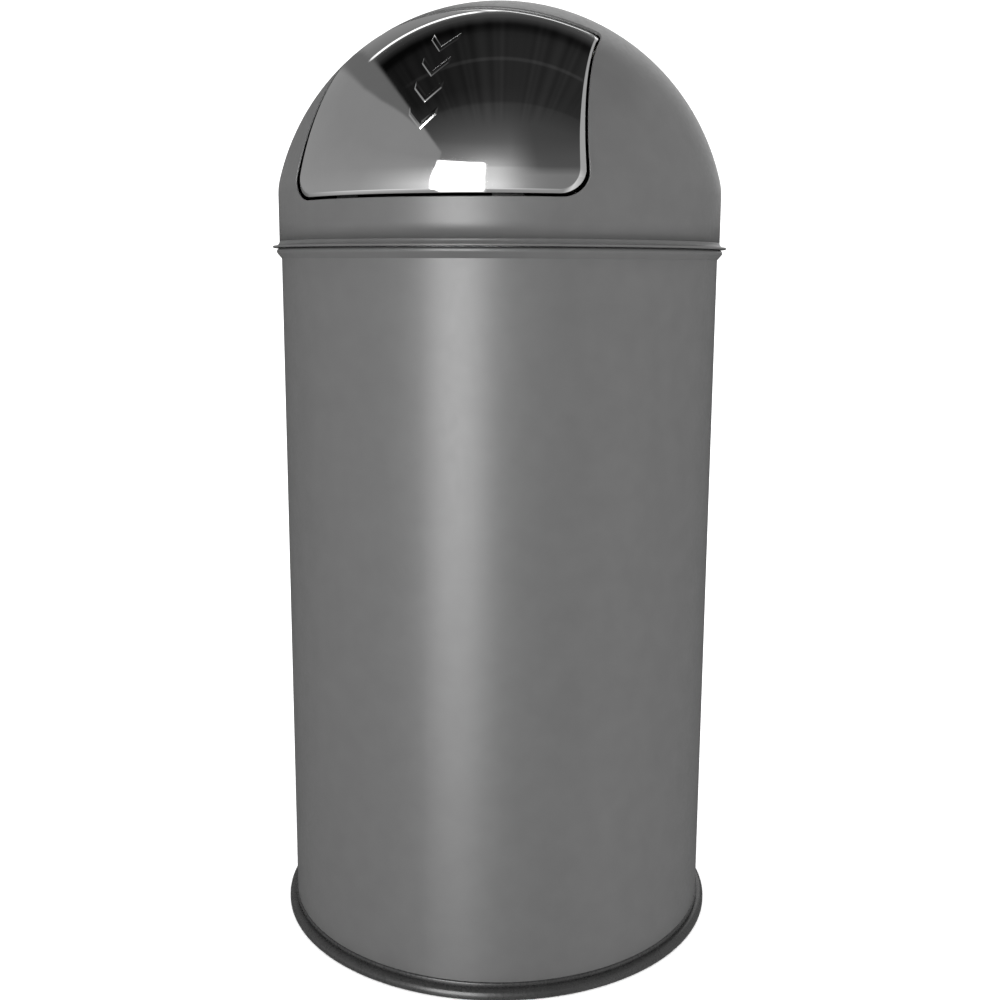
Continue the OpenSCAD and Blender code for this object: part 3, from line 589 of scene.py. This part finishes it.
# Points of a cut edge that lie closer than this become one before the edge is turned
CUT_MERGE = 0.0004
SKIRT_TOP, SKIRT_MIDDLE, SKIRT_LOW = 0.588, 0.573, 0.5595
DOME_STEPS = 180
crown_line = arc((0, CROWN_Z), CROWN_R, 90, SHOULDER_ANGLE, 38)
shoulder_line = arc(SHOULDER, SHOULDER_R, SHOULDER_ANGLE, 0, 6)[1:]
bm = bmesh.new()
spun(bm, crown_line + shoulder_line + [(SKIRT_R, z) for z in (SKIRT_TOP, SKIRT_MIDDLE, SKIRT_LOW)],
     steps=DOME_STEPS, closed=False)
inside = [f for f in bm.faces if f.calc_center_median().y < 0]
for point, out in outline_planes(0, 0, lambda angle: -ROUND_R):
    geom = set(inside)
    for face in inside:
        geom.update(face.edges)
        geom.update(face.verts)
    cut = bmesh.ops.bisect_plane(bm, geom=list(geom), plane_co=point, plane_no=out, dist=1e-7)
    inside = [g for g in cut["geom"] if isinstance(g, bmesh.types.BMFace)
              and (g.calc_center_median() - point).dot(out) < 0]
bmesh.ops.delete(bm, geom=inside, context="FACES")
bmesh.ops.remove_doubles(bm, verts=[v for v in bm.verts if v.is_boundary], dist=CUT_MERGE)
rim = [e for e in bm.edges if e.is_boundary and min(v.co.z for v in e.verts) > SKIRT_MIDDLE]
turn_edge(bm, rim, low_corner(0, 0), -1, lambda point: ROUND_R, quarter_round, OPENING_TURN)
bmesh.ops.solidify(bm, geom=list(bm.faces), thickness=SHEET)
# The skirt ends in the hemmed flange
spun(bm, [(SKIRT_R - SHEET, HEM[1] - HEM_R)] + arc(HEM, HEM_R, -90, 90, 10)
     + arc(COVE, COVE_R, 270, 180, 8) + [(SKIRT_R - SHEET, COVE[1])], steps=DOME_STEPS)
dome = finished("domed_head", bm, powder_coat, "head", "dome_shell", slot="powder_coat", crease=50)
lay_normals(dome)

# Inside the skirt a welded collar of galvanised sheet keeps the head on the body's mouth
dress(galvanised, "dome_collar")

# ---------------------------------------------------------------- The flap
# A steel pressing with the dome's own curve, polished and chromed. Its edge is turned in all
# round, and a column of chevrons, pressed out from behind, shows which way to push.
chrome, tree, shader, place = material_nodes("polished_chrome", Metallic=1.0)
spread(tree, noise(tree, place, 30, 4), (0.88,) * 3, (0.92,) * 3, shader.inputs["Base Color"])
spread(tree, noise(tree, place, 45, 5, 0.6), 0.025, 0.05, shader.inputs["Roughness"])

FLAP_GAP, FLAP_LOW_GAP, FLAP_TURN = 0.0012, 0.0020, 0.007
# It sits a little high and to the left in its opening, so the gap is narrow there
FLAP_LEAN, FLAP_RISE = 0.0005, 0.0006
CHEVRONS, CHEVRON_W, CHEVRON_STROKE, CHEVRON_PITCH = 4, 0.020, 0.0032, 0.0185
CHEVRON_TIP = OPENING_LOW + 0.045
RELIEF, RELIEF_EDGE = 0.0006, 0.0011
# The patch of the flap that the chevrons are pressed in
PATCH_HALF, PATCH_LOW, PATCH_TOP = 0.013, CHEVRON_TIP - 0.004, CHEVRON_TIP + 0.074


def chevron_lift(x, z):
    """Height of the pressed chevrons above the flap's face."""
    best = 0.0
    for i in range(CHEVRONS):
        w = z - CHEVRON_TIP - i * CHEVRON_PITCH
        u = abs(x)
        d = min((w - u) / math.sqrt(2), (u + CHEVRON_STROKE * math.sqrt(2) - w) / math.sqrt(2),
                CHEVRON_W / 2 - u)
        t = min(max(d / RELIEF_EDGE + 0.3, 0), 1)
        best = max(best, RELIEF * t * t * (3 - 2 * t))
    return best


def pressed(x, z):
    """Point of the flap's face behind a point of the front view, with the chevrons in it."""
    return skin(x, z, chevron_lift(x, z) if abs(x) < PATCH_HALF else 0)


def chevron_normal(point):
    """Direction of the flap's face in the chevrons' patch, or nothing elsewhere."""
    x, z = point.x, point.z
    if abs(x) > PATCH_HALF or not PATCH_LOW < z < PATCH_TOP:
        return None
    step = 0.00005
    across = pressed(x + step, z) - pressed(x - step, z)
    upward = pressed(x, z + step) - pressed(x, z - step)
    normal = across.cross(upward).normalized()
    return normal if skin_depth(point) < 0.2 * SHEET else -normal


# Widths of the flap's bevelled edge at its foot, its lower sides, its top corners and its top
EDGE_FOOT, EDGE_SIDE, EDGE_CORNER, EDGE_TOP = 0.0030, 0.0047, 0.0018, 0.0036


def edge_width(angle):
    """Width of the bevelled edge where it faces that way, in degrees up from sideways."""
    if angle < LEAN_DEGREES:
        return between(EDGE_FOOT, EDGE_SIDE, math.cos(math.radians(angle)) ** 2)
    return between(EDGE_CORNER, EDGE_TOP, math.sin(math.radians(angle)) ** 4)


def bevelled_edge(width, out):
    """Profile of the flap's edge: a soft bend, a bevel and a tight round. At the top the
    bevel is flatter and the round larger."""
    top = max(out.z, 0) ** 2
    slope = math.radians(between(18, 8, top))
    soft, tight = 0.0025, between(0.0008, 0.0015, top)
    line = [(soft * math.sin(slope * i / 3), soft * (1 - math.cos(slope * i / 3))) for i in (1, 2, 3)]
    start = width - tight * (1 - math.sin(slope))
    sunk = line[-1][1] + (start - line[-1][0]) * math.tan(slope)
    for i in range(7):
        turn = between(slope, math.pi / 2, i / 6)
        line.append((width - tight * (1 - math.sin(turn)),
                     sunk + tight * (math.cos(slope) - math.cos(turn))))
    return line


flap_planes = outline_planes(FLAP_GAP, FLAP_LOW_GAP, lambda angle: 0, FLAP_LEAN, FLAP_RISE)


def room(point):
    """Distance from a point of the flap to its outline, seen from the front."""
    return min((place - point).dot(out) for place, out in flap_planes)


# The part of the dome's face that the flap is cut from: its top, and its turn about the bin
BLANK_TOP, BLANK_START, BLANK_TURN = 0.74, -150, 120
bm = bmesh.new()
spun(bm, [p for p in crown_line if p[1] < BLANK_TOP] + shoulder_line + [(SKIRT_R, SKIRT_TOP)],
     steps=120, closed=False, start=BLANK_START, angle=BLANK_TURN)
for point, out in outline_planes(FLAP_GAP, FLAP_LOW_GAP, edge_width, FLAP_LEAN, FLAP_RISE):
    bmesh.ops.bisect_plane(bm, geom=list(bm.faces) + list(bm.edges) + list(bm.verts),
                           plane_co=point, plane_no=out, dist=1e-7, clear_outer=True)
patch = [f for f in bm.faces if abs(f.calc_center_median().x) < PATCH_HALF
         and PATCH_LOW < f.calc_center_median().z < PATCH_TOP]
bmesh.ops.subdivide_edges(bm, edges=list({e for f in patch for e in f.edges}), cuts=8,
                          use_grid_fill=True)
for vertex in bm.verts:
    vertex.co = pressed(vertex.co.x, vertex.co.z)
bmesh.ops.remove_doubles(bm, verts=[v for v in bm.verts if v.is_boundary], dist=CUT_MERGE)
rim = [e for e in bm.edges if e.is_boundary]
turn_edge(bm, rim, low_corner(FLAP_GAP, FLAP_LOW_GAP), 1, room, bevelled_edge, FLAP_TURN)
bmesh.ops.recalc_face_normals(bm, faces=bm.faces)
bmesh.ops.solidify(bm, geom=list(bm.faces), thickness=SHEET)
flap = finished("chrome_flap", bm, chrome, "flap", "flap_panel", slot="chrome", crease=50)
lay_normals(flap, chevron_normal)

# ---------------------------------------------------------------- The hinge
# Two plates welded in the dome carry an axle of drawn rod, held by push-on clips. The flap
# hangs on it by two ears, each with a bush of natural nylon.
dress(zinc, "axle_bracket_left", "axle_bracket_right", "flap_ear_left", "flap_ear_right")
drawn_rod, tree, shader, place = material_nodes("drawn_rod", Metallic=1.0)
lines = noise(tree, place, 900, 3, 0.6, stretch=(0.02, 1, 1))
spread(tree, lines, (0.50,) * 3, (0.62,) * 3, shader.inputs["Base Color"])
spread(tree, lines, 0.22, 0.36, shader.inputs["Roughness"])
raise_grain(tree, shader, lines, 0.00001, 0.5)
dress(drawn_rod, "hinge_axle")
nylon, tree, shader, place = material_nodes("natural_nylon", Subsurface_Weight=0.15,
                                            Subsurface_Radius=(0.002, 0.0018, 0.0014))
spread(tree, noise(tree, place, 120, 3), (0.66, 0.64, 0.58), (0.72, 0.70, 0.65),
       shader.inputs["Base Color"])
spread(tree, noise(tree, place, 500, 3), 0.38, 0.50, shader.inputs["Roughness"])
raise_grain(tree, shader, noise(tree, place, 1500, 2), 0.00002, 0.5)
dress(nylon, "flap_bushes")

# ---------------------------------------------------------------- The springs
# A torsion spring of bright wire on each end of the axle pushes the flap shut. One leg lies
# on the flap and the other on the dome, and the three turns of the coil wind up between them.
spring_steel, tree, shader, place = material_nodes("spring_steel", Metallic=1.0)
spread(tree, noise(tree, place, 500, 3), (0.34,) * 3, (0.44,) * 3, shader.inputs["Base Color"])
spread(tree, noise(tree, place, 900, 3), 0.22, 0.34, shader.inputs["Roughness"])
raise_grain(tree, shader, noise(tree, place, 2500, 2), 0.00001, 0.5)
dress(spring_steel, "axle_clips")

AXLE_Y, AXLE_Z = -0.0454046, 0.6972752
WIRE_R, COIL_R = 0.0007, 0.0055
# The coil's ends, out from the bin's middle, and its turn from the flap's leg to the dome's
COIL_X = (0.0913917, 0.0988917)
COIL_TURN = (-82.0361, 1030.6877)
# The tips of the two legs, as (y, z)
FLAP_TIP, DOME_TIP = (-0.0944992, 0.6848534), (-0.0207093, 0.7112540)


def spring_line(side, steps=64):
    """Middle line of a spring: the flap's leg, the coil, and the dome's leg."""
    line = [Vector((side * COIL_X[0], *FLAP_TIP))]
    for i in range(steps + 1):
        a = math.radians(between(*COIL_TURN, i / steps))
        line.append(Vector((side * between(*COIL_X, i / steps),
                            AXLE_Y + COIL_R * math.cos(a), AXLE_Z + COIL_R * math.sin(a))))
    return line + [Vector((side * COIL_X[1], *DOME_TIP))]


def draw_wire(bm, line, radius, sides=10):
    """Draws a round wire along a line, closed at both ends."""
    heading = (line[1] - line[0]).normalized()
    place = Matrix.Translation(line[0]) @ heading.to_track_quat("Z", "X").to_matrix().to_4x4()
    ring = bmesh.ops.create_circle(bm, cap_ends=True, segments=sides, radius=radius,
                                   matrix=place)["verts"]
    edges = list({e for v in ring for e in v.link_edges})
    for i in range(1, len(line)):
        made = bmesh.ops.extrude_edge_only(bm, edges=edges)["geom"]
        onward = (line[min(i + 1, len(line) - 1)] - line[i - 1]).normalized()
        if i == len(line) - 1:
            onward = (line[i] - line[i - 1]).normalized()
        turn = heading.rotation_difference(onward)
        for vertex in [g for g in made if isinstance(g, bmesh.types.BMVert)]:
            vertex.co = line[i] + turn @ (vertex.co - line[i - 1])
        heading = onward
        edges = [g for g in made if isinstance(g, bmesh.types.BMEdge) and g.is_boundary]
    bmesh.ops.edgeloop_fill(bm, edges=edges)
    bmesh.ops.recalc_face_normals(bm, faces=bm.faces)


for side, hand in ((1, "right"), (-1, "left")):
    bm = bmesh.new()
    draw_wire(bm, spring_line(side), WIRE_R)
    spring = finished("flap_spring_" + hand, bm, spring_steel, None, "spring_" + hand,
                      slot="spring_steel", crease=50)
    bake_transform(spring)

# ---------------------------------------------------------------- The stops
# Two hooks of sheet, welded behind the flap, reach down behind the dome's edge, and a rubber buffer
# on each meets the dome when the flap swings shut. The hooks are coloured near black as painted
# shade, so the gap under the flap stays dark where they show in it.
# Painted shade: the hooks' near-black colour stands in for the shade in the gap under the flap
painted_shade_black, tree, shader, place = material_nodes("stop_tab_painted_shade", Specular_IOR_Level=0.4)
spread(tree, noise(tree, place, 150, 3), (0.010,) * 3, (0.016,) * 3, shader.inputs["Base Color"])
spread(tree, noise(tree, place, 500, 3), 0.36, 0.50, shader.inputs["Roughness"])
raise_grain(tree, shader, noise(tree, place, 1200, 2), 0.00002, 0.5)
dress(painted_shade_black, "stop_tabs")
rubber, tree, shader, place = material_nodes("black_rubber", Specular_IOR_Level=0.3)
spread(tree, noise(tree, place, 200, 4), (0.012,) * 3, (0.022,) * 3, shader.inputs["Base Color"])
spread(tree, noise(tree, place, 600, 3), 0.68, 0.84, shader.inputs["Roughness"])
raise_grain(tree, shader, noise(tree, place, 1600, 3), 0.00005, 0.6)
dress(rubber, "stop_buffers")
